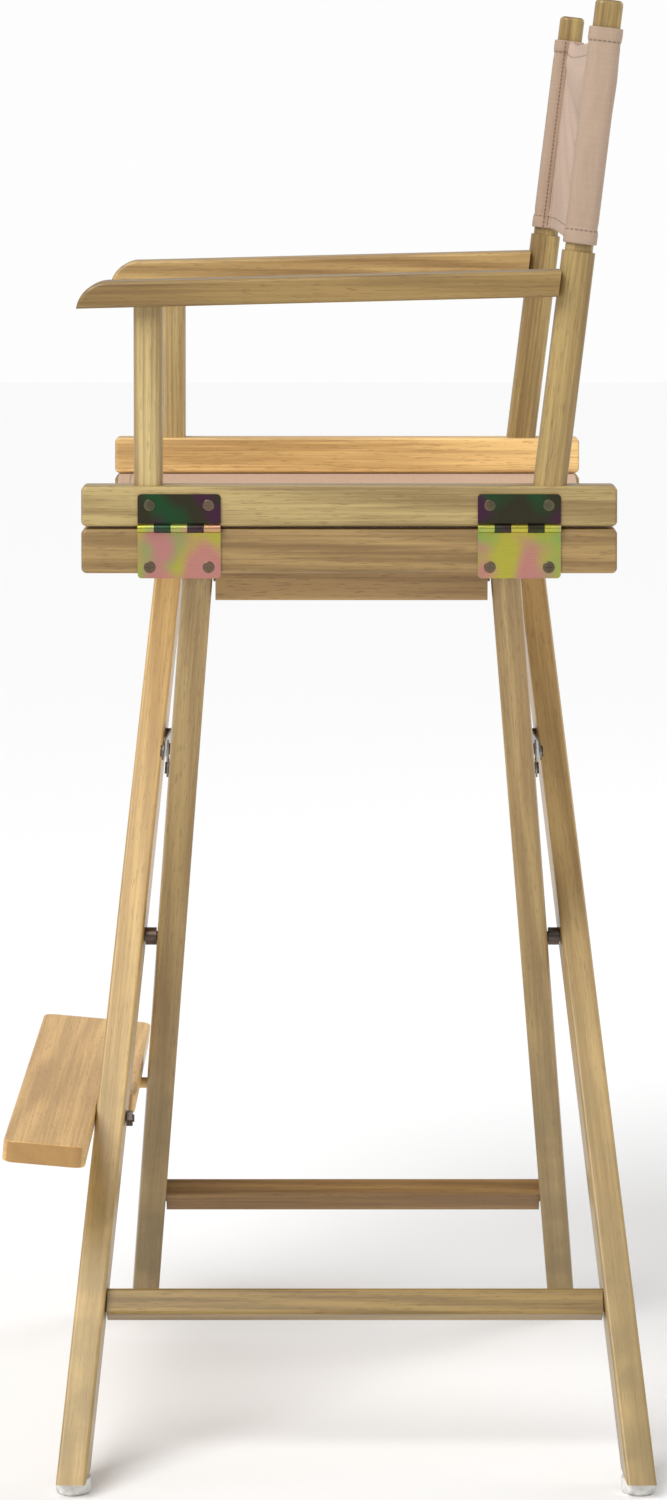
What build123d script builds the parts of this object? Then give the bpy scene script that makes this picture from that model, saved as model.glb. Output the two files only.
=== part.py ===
from build123d import *
import math
import os

# Tall folding sling chair with a footrest. Millimetres, +Z up, +X the sitter's left, the sitter faces -Y.
# Lengths below are measured from the floor and from the middle of the seat rails. Before export everything
# moves front to back together, so that the origin is on the floor in the middle of the overall depth.

# ---- side rails --------------------------------------------------------------------------------
RAIL_LENGTH = 410.0          # front to back
RAIL_THICKNESS = 29.0        # across the chair
RAIL_OUTER_X = 264.0         # outer face of both rails
LOWER_RAIL_BOTTOM = 718.0
LOWER_RAIL_HEIGHT = 34.0
RAIL_GAP = 2.0               # slit between the rails, where the seat canvas comes out
UPPER_RAIL_HEIGHT = 31.0
RAIL_ROUND = 2.5             # rounding of the rails' long edges

# ---- arms and posts ----------------------------------------------------------------------------
ARM_WIDTH = 50.0
ARM_THICKNESS = 20.0
ARM_FRONT_Y = -208.0
ARM_ABOVE_RAIL = 156.0        # arm's front top over the upper rail
ARM_RISE = 9.0               # how much higher the arm's rear end is than its front end
ARM_NOSE = 26.0              # length of the rounded nose
FRONT_POST = 22.0            # section of the front post
FRONT_POST_Y = -154.0
REAR_POST = 25.0             # section of the rear post below the shoulder
REAR_POST_TOP = 21.0         # section above the shoulder, inside the sling's sleeve
REAR_POST_Y = 154.0          # centre of the rear post at the rail's top
REAR_POST_LEAN = 0.121       # how far the rear post leans back for each unit of height
SHOULDER_ABOVE_RAIL = 179.0
POST_ABOVE_RAIL = 371.0
POST_ROUND = 6.0             # rounding of the posts' long edges
TENON_DIAMETER = 12.0
TENON_DEPTH = 11.5           # into the rail, above the hinge screws
ARM_TENON_DEPTH = 12.0       # into the arm
JOINT_CLEARANCE = 0.05       # glue line around a tenon

# ---- leg frames --------------------------------------------------------------------------------
LEG_WIDTH = 38.0             # in the plane in which the legs cross
LEG_THICKNESS = 23.0         # front to back
LEG_ROUND = 2.5
LEG_TOP_PLAY = 1.0           # from a leg's edge at its pivot to the rail above
FOOT_X = 255.0               # where a leg's centre line meets the floor
INNER_TOP_FRONT_Y = -117.5   # inner front leg at its pivot
INNER_TOP_REAR_Y = 121.5     # inner rear leg at its pivot
SPLAY_FRONT = 0.090          # how far a front leg runs forward for each unit down
SPLAY_REAR = 0.100
LEG_PITCH = 33.5             # from an inner leg's middle to the outer leg's, front to back
STRETCHER_Z = 126.0
STRETCHER_HEIGHT = 21.0
STRETCHER_THICKNESS = 19.0
STRETCHER_TENON = 10.0       # depth of the tenon into the leg
APRON_THICKNESS = 34.0
APRON_BELOW_RAIL = 24.0      # how far the apron reaches below the lower rail
APRON_HEIGHT = 40.0
LEG_SIDE_PLAY = 1.0          # least room between an apron's end and the leg beside it

# ---- bolts -------------------------------------------------------------------------------------
BOLT_DIAMETER = 8.0
RUNNING_FIT = 0.08           # radial clearance of a turning joint
HEAD_DIAMETER = 15.0
HEAD_HEIGHT = 4.5
COUNTERBORE_DEPTH = 6.5
COUNTERBORE_PLAY = 1.0       # radial room around a head or nut
SPACER_DIAMETER = 14.5
BOLT_GRIP_IN_APRON = 32.0

# ---- folding stays -----------------------------------------------------------------------------
STAY_Z = 543.0
STAY_WIDTH = 15.0
STAY_PLATE = 1.4
STAY_WASHER = 0.4            # between the inner leg and its link
STAY_LAYER_GAP = 1.8         # between the two links
STAY_SCREW_DEPTH = 14.0
RIVET_DIAMETER = 5.0
RIVET_HEAD_DIAMETER = 9.5
RIVET_HEAD_HEIGHT = 1.6
STAY_BUSH_DIAMETER = 9.0

# ---- butt hinges -------------------------------------------------------------------------------
HINGE_LENGTH = 63.5
HINGE_Y = 130.0              # centre of each hinge, in front of and behind the middle
LEAF_THICKNESS = 1.6
KNUCKLE_DIAMETER = 7.0
KNUCKLE_COUNT = 5
KNUCKLE_GAP = 0.25
PIN_DIAMETER = 3.4
UPPER_LEAF_HEIGHT = 26.0     # from the hinge axis
LOWER_LEAF_HEIGHT = 38.5
LEAF_CORNER = 3.0
SCREW_SPACING = 45.0
UPPER_SCREW_HEIGHT = 17.5    # over the hinge axis
LOWER_SCREW_DROP = 30.0      # under the hinge axis
SCREW_HEAD_DIAMETER = 9.0
SCREW_SHANK_DIAMETER = 4.0
SCREW_LENGTH = 19.0
SCREW_HEAD_STANDS = 0.8      # how far a screw head stands over the leaf

# ---- footrest ----------------------------------------------------------------------------------
FOOTREST_LENGTH = 470.0
FOOTREST_FRONT_Y = -269.0
FOOTREST_THICKNESS = 17.0
FOOTREST_TOP_Z = 267.0       # top of the board where it meets the outer leg
FOOTREST_ROUND = 9.0         # corners seen from above
FOOTREST_REAR_ROOM = 5.0     # from the wide part's rear edge to the inner leg
NOTCH_X = 44.0               # the board is narrower from here to its left end
NOTCH_ROOM = 1.3             # between the narrow part and the outer leg
FOOT_BOLT_Z = 255.0
FOOT_BOLT_DIAMETER = 6.0
FOOT_BOLT_IN_BOARD = 40.0
FOOT_NUT_HEIGHT = 5.0
PEG_DIAMETER = 9.0
PEG_REACH = 8.6              # how far the peg stands out of the inner leg
PEG_DEPTH = 15.0             # how far it is driven in
PEG_ROOM = 0.3               # under the board

# ---- feet --------------------------------------------------------------------------------------
GLIDE_DIAMETER = 27.0
GLIDE_HEIGHT = 12.0
GLIDE_PIN_DIAMETER = 4.0
GLIDE_PIN_LENGTH = 18.0

# ---- canvas ------------------------------------------------------------------------------------
CANVAS_THICKNESS = 1.2
CHANNEL_PLAY = 0.5           # around the hem, in the channel that is half in each rail
SEAT_DOWEL_DIAMETER = 8.0
HEM_PLAY = 0.3               # between the dowel and its hem
SEAT_END_ROOM = 3.0          # from the canvas to each end of the rails
SLING_HEIGHT = 165.0
SLEEVE_PLAY = 0.6            # between a post and its sleeve
SLEEVE_WALL = 1.2
SLING_ABOVE_SHOULDER = 6.0

# ---- derived places ----------------------------------------------------------------------------
RAIL_INNER_X = RAIL_OUTER_X - RAIL_THICKNESS
RAIL_MIDDLE_X = RAIL_OUTER_X - RAIL_THICKNESS / 2
LOWER_RAIL_TOP = LOWER_RAIL_BOTTOM + LOWER_RAIL_HEIGHT
UPPER_RAIL_BOTTOM = LOWER_RAIL_TOP + RAIL_GAP
RAIL_TOP = UPPER_RAIL_BOTTOM + UPPER_RAIL_HEIGHT
SPLIT_Z = LOWER_RAIL_TOP + RAIL_GAP / 2
ARM_FRONT_TOP = RAIL_TOP + ARM_ABOVE_RAIL
SHOULDER_Z = RAIL_TOP + SHOULDER_ABOVE_RAIL
OVERALL_HEIGHT = RAIL_TOP + POST_ABOVE_RAIL
APRON_BOTTOM = LOWER_RAIL_BOTTOM - APRON_BELOW_RAIL
TOP_PIVOT_X = RAIL_INNER_X - LEG_WIDTH / 2 - LEG_TOP_PLAY
TOP_PIVOT_Z = APRON_BOTTOM + APRON_HEIGHT / 2
UPPER_LEAF_TOP = SPLIT_Z + UPPER_LEAF_HEIGHT
LOWER_LEAF_BOTTOM = SPLIT_Z - LOWER_LEAF_HEIGHT
UPPER_SCREW_Z = SPLIT_Z + UPPER_SCREW_HEIGHT
LOWER_SCREW_Z = SPLIT_Z - LOWER_SCREW_DROP
CHANNEL_DIAMETER = SEAT_DOWEL_DIAMETER + 2 * (HEM_PLAY + CANVAS_THICKNESS + CHANNEL_PLAY)
SEAT_LENGTH = RAIL_LENGTH - 2 * SEAT_END_ROOM
HINGE_AXIS_X = RAIL_OUTER_X + KNUCKLE_DIAMETER / 2
LEG_ANGLE = math.degrees(math.atan2(TOP_PIVOT_X + FOOT_X, TOP_PIVOT_Z))
CROSS_Z = TOP_PIVOT_Z * FOOT_X / (TOP_PIVOT_X + FOOT_X)
ARM_SLOPE = ARM_RISE / (REAR_POST_Y - ARM_FRONT_Y)
SIDES = {"left": 1, "right": -1}


def mirrored(solid, side):
    """The left-hand solid, or its mirror image for the right-hand side."""
    return solid if side > 0 else mirror(solid, about=Plane.YZ)


def box_between(x, y, z):
    """A block between the low and high values given for each axis."""
    low = (min(x), min(y), min(z))
    size = (abs(x[1] - x[0]), abs(y[1] - y[0]), abs(z[1] - z[0]))
    return Pos(*low) * Box(*size, align=(Align.MIN, Align.MIN, Align.MIN))


def rod_y(x, z, y_low, y_high, diameter):
    """A round bar along Y."""
    length = y_high - y_low
    return Pos(x, y_low, z) * Rot(-90, 0, 0) * Cylinder(
        diameter / 2, length, align=(Align.CENTER, Align.CENTER, Align.MIN))


def rod_x(y, z, x_low, x_high, diameter):
    """A round bar along X."""
    length = x_high - x_low
    return Pos(x_low, y, z) * Rot(0, 90, 0) * Cylinder(
        diameter / 2, length, align=(Align.CENTER, Align.CENTER, Align.MIN))


def rounded(solid, axis, radius):
    """Rounds the edges that run along one axis."""
    return fillet(solid.edges().filter_by(axis), radius)


# ---- leg geometry ------------------------------------------------------------------------------
def leg_y(row, end, z):
    """Middle of a leg, front to back, at a height. row is inner or outer, end is front or rear."""
    outward = LEG_PITCH if row == "outer" else 0.0
    if end == "front":
        return INNER_TOP_FRONT_Y - outward - SPLAY_FRONT * (TOP_PIVOT_Z - z)
    return INNER_TOP_REAR_Y + outward + SPLAY_REAR * (TOP_PIVOT_Z - z)


def leg_x(row, z):
    """Centre line of a leg across the chair. Inner legs start on the left, outer legs on the right."""
    x = TOP_PIVOT_X - (TOP_PIVOT_Z - z) * (TOP_PIVOT_X + FOOT_X) / TOP_PIVOT_Z
    return x if row == "inner" else -x


def leg_plane(row, end):
    """Plane through a leg's top pivot: x across its width, y up along it, z front to back."""
    top = Vector(leg_x(row, TOP_PIVOT_Z), leg_y(row, end, TOP_PIVOT_Z), TOP_PIVOT_Z)
    foot = Vector(leg_x(row, 0), leg_y(row, end, 0), 0)
    down = (foot - top).normalized()
    across = Vector(0, 1, 0).cross(down).normalized()
    return Plane(origin=top, x_dir=across, z_dir=down.cross(across))


def leg_face_y(row, end, z, outward):
    """Where a leg's outward or inward face is at a height, on its centre line."""
    splay = SPLAY_FRONT if end == "front" else SPLAY_REAR
    slant = math.hypot(1, splay * math.cos(math.radians(LEG_ANGLE)))
    half = LEG_THICKNESS / 2 * slant
    away = -1 if end == "front" else 1
    return leg_y(row, end, z) + (half if outward else -half) * away


def leg(row, end):
    """One leg: round at its pivot, cut level over its foot, bored for its bolts."""
    length = (TOP_PIVOT_Z ** 2 + (TOP_PIVOT_X + FOOT_X) ** 2) ** 0.5 + LEG_WIDTH
    outline = Circle(LEG_WIDTH / 2) + Pos(0, -length / 2) * Rectangle(LEG_WIDTH, length)
    bar = leg_plane(row, end) * extrude(outline, LEG_THICKNESS / 2, both=True)
    long_edges = bar.edges().filter_by(lambda edge: edge.length > LEG_WIDTH + 2)
    bar = fillet(long_edges, LEG_ROUND)
    reach = 2 * FOOT_X + LEG_WIDTH
    bar -= box_between((-reach, reach), (-reach, reach), (-reach, GLIDE_HEIGHT))
    far = 2 * RAIL_LENGTH
    bore = BOLT_DIAMETER + 2 * RUNNING_FIT
    bar -= rod_y(leg_x(row, TOP_PIVOT_Z), TOP_PIVOT_Z, -far, far, bore)
    bar -= rod_y(0, CROSS_Z, -far, far, bore if row == "outer" else BOLT_DIAMETER)
    bar -= head_recess(leg_x(row, TOP_PIVOT_Z), TOP_PIVOT_Z, row, end, outward=True)
    bar -= head_recess(0, CROSS_Z, row, end, outward=(row == "outer"))
    bar -= stretcher(row)
    bar -= glide(row, end)
    if end == "front":
        bar -= foot_fixing_hole(row)
    return bar - stay_screw(row, end)


def head_recess(x, z, row, end, outward):
    """Counterbore for a bolt's head or nut, in a leg's outward or inward face."""
    face = leg_face_y(row, end, z, outward)
    away = (-1 if end == "front" else 1) * (1 if outward else -1)
    diameter = HEAD_DIAMETER + 2 * COUNTERBORE_PLAY
    near = face - away * COUNTERBORE_DEPTH
    far = face + away * LEG_THICKNESS
    return rod_y(x, z, min(near, far), max(near, far), diameter)


def stretcher(row):
    """Rail between the two legs of a frame, with a tenon at each end."""
    x, z = leg_x(row, STRETCHER_Z), STRETCHER_Z
    front = leg_face_y(row, "front", z, False) + SPLAY_FRONT * STRETCHER_HEIGHT / 2
    rear = leg_face_y(row, "rear", z, False) - SPLAY_REAR * STRETCHER_HEIGHT / 2
    half_x, half_z = STRETCHER_THICKNESS / 2, STRETCHER_HEIGHT / 2
    bar = box_between((-half_x, half_x), (front, rear), (-half_z, half_z))
    bar = rounded(bar, Axis.Y, 2.5)
    tenon = rod_y(0, 0, front - STRETCHER_TENON, rear + STRETCHER_TENON, TENON_DIAMETER)
    turn = LEG_ANGLE if row == "inner" else -LEG_ANGLE
    return Pos(x, 0, z) * Rot(0, turn, 0) * (bar + tenon)


def glide(row, end):
    """Domed foot with its pin driven up into the leg."""
    x, y = leg_x(row, GLIDE_HEIGHT), leg_y(row, end, GLIDE_HEIGHT)
    base = Cylinder(GLIDE_DIAMETER / 2, GLIDE_HEIGHT, align=(Align.CENTER, Align.CENTER, Align.MIN))
    base = fillet(base.edges().group_by(Axis.Z)[0], 3.0)
    pin = Pos(0, 0, GLIDE_HEIGHT) * Cylinder(
        GLIDE_PIN_DIAMETER / 2, GLIDE_PIN_LENGTH, align=(Align.CENTER, Align.CENTER, Align.MIN))
    return Pos(x, y, 0) * (base + pin)


# ---- folding stays -----------------------------------------------------------------------------
def stay_pivot(row, end):
    """Place of a stay's pivot on a leg's middle plane."""
    z = STAY_Z
    return Vector(leg_x(row, z), leg_y(row, end, z), z)


def stay_frame(row, end):
    """The leg's plane moved to the stay's pivot, and which way is outward from the chair's middle."""
    plane = leg_plane(row, end)
    moved = Plane(origin=stay_pivot(row, end), x_dir=plane.x_dir, z_dir=plane.z_dir)
    return moved, (-1 if end == "front" else 1)


def disc_layer(frame, point, low, high, diameter):
    """A disc square to a leg's face, between two heights over the leg's middle plane."""
    thick = abs(high - low)
    disc = Cylinder(diameter / 2, thick, align=(Align.CENTER, Align.CENTER, Align.MIN))
    return frame * Pos(point[0], point[1], min(low, high)) * disc


def link_layer(row):
    """Heights of a link's two faces over its own leg's middle plane, outward positive."""
    low = LEG_THICKNESS / 2 + STAY_WASHER
    if row == "inner":
        return low, low + STAY_PLATE
    pitch = LEG_PITCH * leg_plane("outer", "rear").z_dir.Y
    start = low + STAY_PLATE + STAY_LAYER_GAP
    return start - pitch, start + STAY_PLATE - pitch


def link_tip(row, end):
    """Where the two links of a stay meet, in the plane of the leg."""
    frame, _ = stay_frame(row, end)
    toward = Vector(-1 if row == "inner" else 1, 0, 0)
    reach = abs(leg_x(row, STAY_Z)) / math.hypot(toward.dot(frame.x_dir), toward.dot(frame.y_dir))
    return toward.dot(frame.x_dir) * reach, toward.dot(frame.y_dir) * reach


def stay_link(row, end):
    """Flat steel link with round ends and a hole at each end."""
    frame, out = stay_frame(row, end)
    tip = Vector(*link_tip(row, end), 0)
    low, high = link_layer(row)
    shape = Rectangle(tip.length, STAY_WIDTH) + Pos(-tip.length / 2, 0) * Circle(STAY_WIDTH / 2)
    shape += Pos(tip.length / 2, 0) * Circle(STAY_WIDTH / 2)
    shape -= Pos(-tip.length / 2, 0) * Circle(RIVET_DIAMETER / 2 + RUNNING_FIT)
    shape -= Pos(tip.length / 2, 0) * Circle(RIVET_DIAMETER / 2)
    turn = math.degrees(math.atan2(tip.Y, tip.X))
    plate = extrude(Rot(0, 0, turn) * Pos(tip.length / 2, 0) * shape, STAY_PLATE)
    return frame * Pos(0, 0, min(low * out, high * out)) * plate


def stay_rivet(row, end):
    """The half of the middle rivet that stays with a link: a shank and, away from the other link, a head."""
    frame, out = stay_frame(row, end)
    low, high = link_layer(row)
    tip = link_tip(row, end)
    shank = disc_layer(frame, tip, low * out, high * out, RIVET_DIAMETER)
    outer = high if row == "outer" else low
    top = outer + RIVET_HEAD_HEIGHT if row == "outer" else outer - RIVET_HEAD_HEIGHT
    return shank + disc_layer(frame, tip, outer * out, top * out, RIVET_HEAD_DIAMETER)


def stay_screw(row, end):
    """Shoulder screw, with its bush, that holds a link on its leg."""
    frame, out = stay_frame(row, end)
    low, high = link_layer(row)
    face = LEG_THICKNESS / 2 if row == "inner" else -LEG_THICKNESS / 2
    inside = face - STAY_SCREW_DEPTH if row == "inner" else face + STAY_SCREW_DEPTH
    near, far = (low, high) if row == "inner" else (high, low)
    top = far + RIVET_HEAD_HEIGHT if row == "inner" else far - RIVET_HEAD_HEIGHT
    screw = disc_layer(frame, (0, 0), inside * out, far * out, RIVET_DIAMETER)
    screw += disc_layer(frame, (0, 0), face * out, near * out, STAY_BUSH_DIAMETER)
    return screw + disc_layer(frame, (0, 0), far * out, top * out, RIVET_HEAD_DIAMETER)


# ---- crossing bolts ----------------------------------------------------------------------------
def cross_bolt(end):
    """Bolt on which the two leg frames turn, with its round head sunk in the outer leg and its nut in the inner."""
    away = -1 if end == "front" else 1
    head_seat = leg_face_y("outer", end, CROSS_Z, True) - away * COUNTERBORE_DEPTH
    nut_seat = leg_face_y("inner", end, CROSS_Z, False) + away * COUNTERBORE_DEPTH
    shank = rod_y(0, CROSS_Z, min(head_seat, nut_seat), max(head_seat, nut_seat), BOLT_DIAMETER)
    head_end, nut_end = head_seat + away * HEAD_HEIGHT, nut_seat - away * HEAD_HEIGHT
    head = rod_y(0, CROSS_Z, min(head_seat, head_end), max(head_seat, head_end), HEAD_DIAMETER)
    nut = rod_y(0, CROSS_Z, min(nut_seat, nut_end), max(nut_seat, nut_end), HEAD_DIAMETER)
    return shank + head + nut


def cross_spacer(end):
    """Tube that keeps the two legs apart on the crossing bolt."""
    near = leg_face_y("outer", end, CROSS_Z, False)
    far = leg_face_y("inner", end, CROSS_Z, True)
    slack = SPACER_DIAMETER / 2 * max(SPLAY_FRONT, SPLAY_REAR)
    low, high = min(near, far) + slack, max(near, far) - slack
    tube = rod_y(0, CROSS_Z, low, high, SPACER_DIAMETER)
    return tube - rod_y(0, CROSS_Z, low - 1, high + 1, BOLT_DIAMETER + 2 * RUNNING_FIT)


# ---- footrest ----------------------------------------------------------------------------------
def footrest_plane():
    """Top of the board where it meets the outer leg, square to that leg's front face."""
    y = leg_face_y("outer", "front", FOOTREST_TOP_Z, True) - NOTCH_ROOM
    return Plane(origin=(0, y, FOOTREST_TOP_Z), x_dir=(1, 0, 0), z_dir=(0, SPLAY_FRONT, 1))


def footrest_board():
    """Board across both front legs, cut narrower where it passes in front of the outer leg."""
    plane = footrest_plane()
    front = FOOTREST_FRONT_Y - plane.origin.Y
    step = leg_face_y("inner", "front", FOOTREST_TOP_Z, True) - FOOTREST_REAR_ROOM - plane.origin.Y
    end = FOOTREST_LENGTH / 2
    outline = Polyline((-end, front), (end, front), (end, 0), (NOTCH_X, 0), (NOTCH_X, step), (-end, step), close=True)
    face = make_face(outline)
    corners = face.vertices().filter_by(lambda v: abs(v.X - NOTCH_X) > 1 or v.Y > 1)
    face = fillet(corners, FOOTREST_ROUND)
    board = extrude(face, -FOOTREST_THICKNESS)
    long_edges = board.edges().filter_by(Plane.XY)
    board = plane * fillet(long_edges, 1.5)
    return board - foot_bolt()


def foot_bolt():
    """Bolt through the outer front leg into the rear edge of the board, with its nut behind the leg."""
    x = leg_x("outer", FOOT_BOLT_Z)
    behind = leg_face_y("outer", "front", FOOT_BOLT_Z, False)
    tip = leg_face_y("outer", "front", FOOT_BOLT_Z, True) - FOOT_BOLT_IN_BOARD
    return rod_y(x, FOOT_BOLT_Z, tip, behind + FOOT_NUT_HEIGHT + 2, FOOT_BOLT_DIAMETER)


def foot_nut():
    """Hexagon nut on the footrest's bolt."""
    behind = leg_face_y("outer", "front", FOOT_BOLT_Z, False) + SPLAY_FRONT * HEAD_DIAMETER / 2
    prism = extrude(RegularPolygon(6.5, 6), FOOT_NUT_HEIGHT)
    nut = Pos(leg_x("outer", FOOT_BOLT_Z), behind, FOOT_BOLT_Z) * Rot(-90, 0, 0) * prism
    return nut - foot_bolt()


def peg():
    """Steel peg in the inner front leg, on which the free end of the board rests."""
    plane = footrest_plane()
    rear = leg_face_y("inner", "front", FOOTREST_TOP_Z, True) - FOOTREST_REAR_ROOM
    underside = FOOTREST_TOP_Z - FOOTREST_THICKNESS - (rear - plane.origin.Y) * SPLAY_FRONT
    z = underside - FOOTREST_THICKNESS * SPLAY_FRONT ** 2 - PEG_ROOM - PEG_DIAMETER / 2
    face = leg_face_y("inner", "front", z, True)
    return rod_y(leg_x("inner", z), z, face - PEG_REACH, face + PEG_DEPTH, PEG_DIAMETER)


def foot_fixing_hole(row):
    """Hole for the footrest's bolt in the outer leg, or for its peg in the inner leg."""
    return foot_bolt() if row == "outer" else peg()


# ---- rails, apron and top pivots ---------------------------------------------------------------
def seat_channel():
    """Round channel that holds the seat's edge, half in each rail."""
    return rod_y(RAIL_MIDDLE_X, SPLIT_Z, -RAIL_LENGTH, RAIL_LENGTH, CHANNEL_DIAMETER)


def rail(bottom, height):
    """Plain rail with rounded edges and its half of the channel."""
    half = RAIL_LENGTH / 2
    bar = box_between((RAIL_INNER_X, RAIL_OUTER_X), (-half, half), (bottom, bottom + height))
    bar = fillet(bar.edges().filter_by(Axis.X), 4.0)
    outline = bar.faces().filter_by(Axis.X).edges()
    return fillet(outline, RAIL_ROUND) - seat_channel()


def lower_rail():
    bar = rail(LOWER_RAIL_BOTTOM, LOWER_RAIL_HEIGHT)
    for screw in hinge_screws(LOWER_SCREW_Z) + apron_screws():
        bar -= screw
    return bar


def upper_rail():
    bar = rail(UPPER_RAIL_BOTTOM, UPPER_RAIL_HEIGHT)
    for y in (FRONT_POST_Y, REAR_POST_Y):
        bar -= tenon_hole(y, RAIL_TOP - TENON_DEPTH, RAIL_TOP)
    for screw in hinge_screws(UPPER_SCREW_Z):
        bar -= screw
    return bar


def tenon_hole(y, low, high):
    height = high - low
    return Pos(RAIL_MIDDLE_X, y, low) * Cylinder(
        TENON_DIAMETER / 2 + JOINT_CLEARANCE, height, align=(Align.CENTER, Align.CENTER, Align.MIN))


def apron_ends(row):
    """Front and rear ends of the apron that hangs between the two legs of one frame."""
    top = APRON_BOTTOM + APRON_HEIGHT
    front = leg_face_y(row, "front", top, False) + LEG_SIDE_PLAY
    return front, leg_face_y(row, "rear", top, False) - LEG_SIDE_PLAY


def apron(row):
    """Strip screwed to the inside of a lower rail, which carries the two top pivots."""
    x = (RAIL_INNER_X - APRON_THICKNESS, RAIL_INNER_X)
    bar = box_between(x, apron_ends(row), (APRON_BOTTOM, APRON_BOTTOM + APRON_HEIGHT))
    bar = fillet(bar.edges().filter_by(Axis.Y), RAIL_ROUND)
    for end in ("front", "rear"):
        bar -= top_bolt(row, end)
    for screw in apron_screws():
        bar -= screw
    return bar


def apron_screws():
    """Two screws through the apron into the lower rail."""
    x, z = RAIL_INNER_X - APRON_THICKNESS, LOWER_RAIL_BOTTOM + 9
    screws = []
    for y in (-HINGE_Y / 2, HINGE_Y / 2):
        shank = rod_x(y, z, x, x + APRON_THICKNESS + 20, SCREW_SHANK_DIAMETER)
        screws.append(shank + rod_x(y, z, x, x + 3, SCREW_HEAD_DIAMETER))
    return screws


def top_bolt(row, end):
    """Bolt on which a leg turns under its rail: round head sunk in the leg, thread in the apron's end."""
    away = -1 if end == "front" else 1
    seat = leg_face_y(row, end, TOP_PIVOT_Z, True) - away * COUNTERBORE_DEPTH
    front, rear = apron_ends(row)
    tip = (front if end == "front" else rear) - away * BOLT_GRIP_IN_APRON
    x = TOP_PIVOT_X
    shank = rod_y(x, TOP_PIVOT_Z, min(seat, tip), max(seat, tip), BOLT_DIAMETER)
    top = seat + away * HEAD_HEIGHT
    return shank + rod_y(x, TOP_PIVOT_Z, min(seat, top), max(seat, top), HEAD_DIAMETER)


def top_washer(row, end):
    """Washer between a leg and the apron's end."""
    away = -1 if end == "front" else 1
    front, rear = apron_ends(row)
    start = front if end == "front" else rear
    face = leg_face_y(row, end, TOP_PIVOT_Z, False) - away * SPACER_DIAMETER / 2 * SPLAY_REAR
    low, high = min(start, face), max(start, face)
    ring = rod_y(TOP_PIVOT_X, TOP_PIVOT_Z, low, high, SPACER_DIAMETER)
    return ring - top_bolt(row, end)


# ---- butt hinges -------------------------------------------------------------------------------
def hinge_screws(z, stands=SCREW_HEAD_STANDS):
    """The two screws of one leaf on each of a side's two hinges."""
    outside = RAIL_OUTER_X + LEAF_THICKNESS
    screws = []
    for middle in (-HINGE_Y, HINGE_Y):
        for offset in (-SCREW_SPACING / 2, SCREW_SPACING / 2):
            y = middle + offset
            shank = rod_x(y, z, outside - SCREW_LENGTH, outside, SCREW_SHANK_DIAMETER)
            head = rod_x(y, z, outside - LEAF_THICKNESS / 2, outside + stands, SCREW_HEAD_DIAMETER)
            screws.append(shank + fillet(head.edges().group_by(Axis.X)[-1], 0.5))
    return screws


def crossed(screw, z):
    """A screw with a cross recess in its head."""
    box = screw.bounding_box()
    y = (box.min.Y + box.max.Y) / 2
    depth = (box.max.X - 1.0, box.max.X + 1)
    for size in ((0.5, 2.6), (2.6, 0.5)):
        screw -= box_between(depth, (y - size[0], y + size[0]), (z - size[1], z + size[1]))
    return screw


def knuckle_span(index, middle):
    """Front and rear end of one knuckle of the hinge whose middle is given."""
    pitch = HINGE_LENGTH / KNUCKLE_COUNT
    start = middle - HINGE_LENGTH / 2 + index * pitch
    return start + KNUCKLE_GAP / 2, start + pitch - KNUCKLE_GAP / 2


def hinge_leaf(middle, upper):
    """One leaf with its own knuckles. The lower leaf has the odd number of them."""
    z = (SPLIT_Z, UPPER_LEAF_TOP) if upper else (LOWER_LEAF_BOTTOM, SPLIT_Z)
    y = (middle - HINGE_LENGTH / 2, middle + HINGE_LENGTH / 2)
    plate = box_between((RAIL_OUTER_X, RAIL_OUTER_X + LEAF_THICKNESS), y, z)
    corners = plate.edges().filter_by(Axis.X).sort_by(Axis.Z)
    plate = fillet(corners[-2:] if upper else corners[:2], LEAF_CORNER)
    room = KNUCKLE_DIAMETER / 2 + KNUCKLE_GAP
    for index in range(KNUCKLE_COUNT):
        low, high = knuckle_span(index, middle)
        if (index % 2 == 1) == upper:
            plate += rod_y(HINGE_AXIS_X, SPLIT_Z, low, high, KNUCKLE_DIAMETER)
        else:
            slot_y = (low - KNUCKLE_GAP, high + KNUCKLE_GAP)
            slot_x = (RAIL_OUTER_X - 1, HINGE_AXIS_X + room)
            plate -= box_between(slot_x, slot_y, (SPLIT_Z - room, SPLIT_Z + room))
    bore = PIN_DIAMETER + (2 * RUNNING_FIT if upper else 0)
    plate -= rod_y(HINGE_AXIS_X, SPLIT_Z, y[0] - 1, y[1] + 1, bore)
    for screw in hinge_screws(UPPER_SCREW_Z if upper else LOWER_SCREW_Z):
        plate -= screw
    return plate


def hinge_pin(middle):
    return rod_y(HINGE_AXIS_X, SPLIT_Z, middle - HINGE_LENGTH / 2, middle + HINGE_LENGTH / 2, PIN_DIAMETER)


# ---- arm and posts -----------------------------------------------------------------------------
def post_plane(x, z):
    """Plane across the rear post at a height, its z along the leaning post."""
    y = REAR_POST_Y + REAR_POST_LEAN * (z - RAIL_TOP)
    return Plane(origin=(x, y, z), x_dir=(1, 0, 0), z_dir=(0, REAR_POST_LEAN, 1))


def square_bar(size, length, radius):
    """Square bar with rounded long edges, standing on its middle."""
    return extrude(RectangleRounded(size, size, radius), length)


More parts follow.
